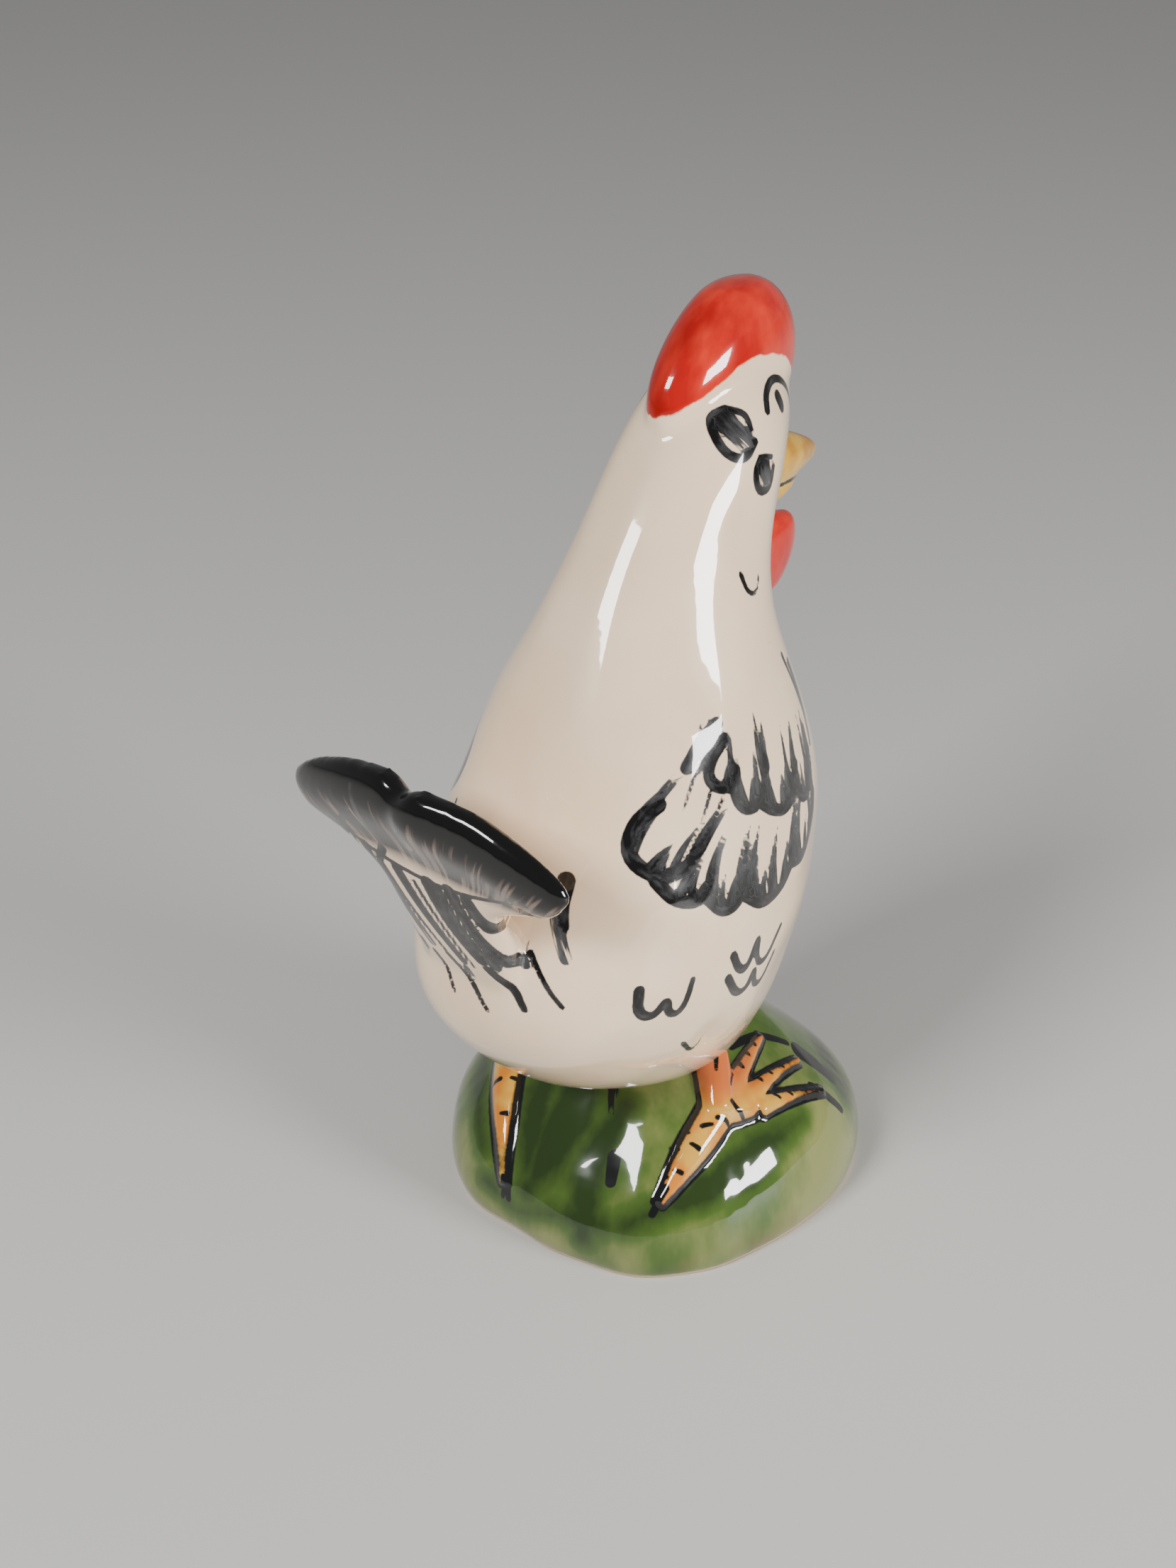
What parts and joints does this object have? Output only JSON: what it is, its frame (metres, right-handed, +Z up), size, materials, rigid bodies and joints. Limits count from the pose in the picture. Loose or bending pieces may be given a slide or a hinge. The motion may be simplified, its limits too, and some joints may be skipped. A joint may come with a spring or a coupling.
{
  "type": "ceramic hen figurine",
  "caption": "Hollow glazed ceramic hen with an upturned fan tail, comb and wattles, standing on a cushion-shaped glazed mound with a flat foot.",
  "frame": {"origin": "on the foot's plane, at the middle of the figure's width and depth", "axes": "+Z up, -Y the way the hen faces, +X the hen's left"},
  "size_m": [0.0842, 0.1231, 0.1925],
  "materials": {
    "cream_glaze": "gloss clear glaze over cream earthenware, with black painted feathers",
    "green_glaze": "gloss pooled copper green glaze",
    "red_glaze": "gloss brushed red enamel",
    "black_glaze": "gloss black brushed over cream",
    "yellow_glaze": "gloss yellow",
    "orange_glaze": "gloss orange with black bands"
  },
  "bodies": {
    "root": {"body_shell": "cream_glaze", "base_mound": "green_glaze", "comb": "red_glaze", "left_wattle": "red_glaze", "right_wattle": "red_glaze", "upper_beak": "yellow_glaze", "lower_beak": "yellow_glaze", "tail_fan": "black_glaze", "left_shank": "orange_glaze", "right_shank": "orange_glaze", "left_foot": "orange_glaze", "right_foot": "orange_glaze"}
  },
  "joints": []
}
